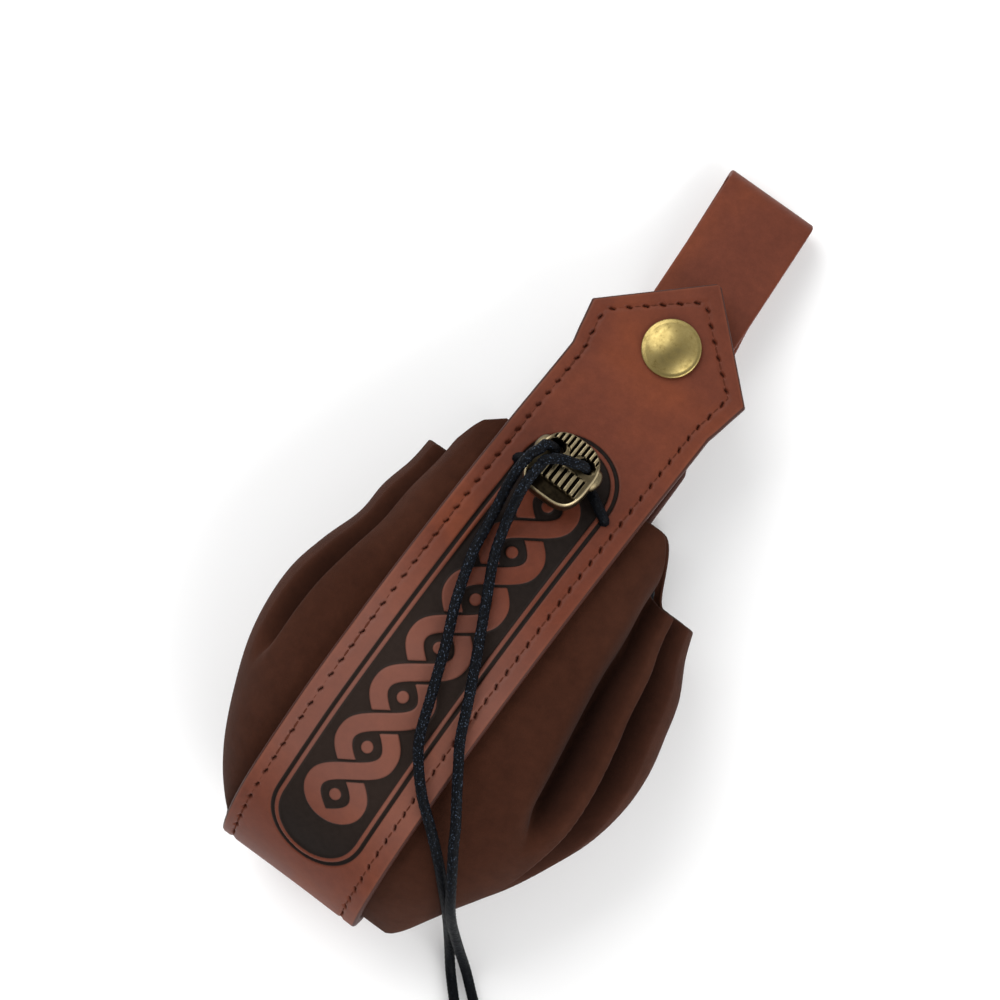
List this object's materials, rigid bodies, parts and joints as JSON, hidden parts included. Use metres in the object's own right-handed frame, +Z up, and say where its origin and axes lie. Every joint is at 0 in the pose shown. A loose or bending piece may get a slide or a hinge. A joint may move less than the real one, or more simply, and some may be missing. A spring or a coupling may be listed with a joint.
{
  "type": "belt pouch",
  "caption": "Gathered suede drawstring pouch with a stitched leather strip around it, a snap-fastened belt loop and a slide bead on its cord.",
  "frame": {"origin": "on the surface the pouch lies on, at the middle of the box round the pouch without its cord's free ends", "axes": "+X across the strip, +Y along the strip towards its pointed head, +Z up, out of the pouch's front"},
  "size_m": [0.1076, 0.2195, 0.0555],
  "materials": {
    "strip_leather": "waxed",
    "strap_leather": "waxed",
    "suede": "matte suede",
    "brass": "antiqued",
    "bronze": "antiqued",
    "waxed_cord": "waxed"
  },
  "bodies": {
    "root": {"leather_strip": "strip_leather", "belt_strap": "strap_leather", "pouch_body": "suede", "snap_cap": "brass", "snap_stud": "brass", "bead": "bronze", "drawstring": "waxed_cord", "cord_tail_left": "waxed_cord", "cord_tail_right": "waxed_cord"}
  },
  "joints": []
}
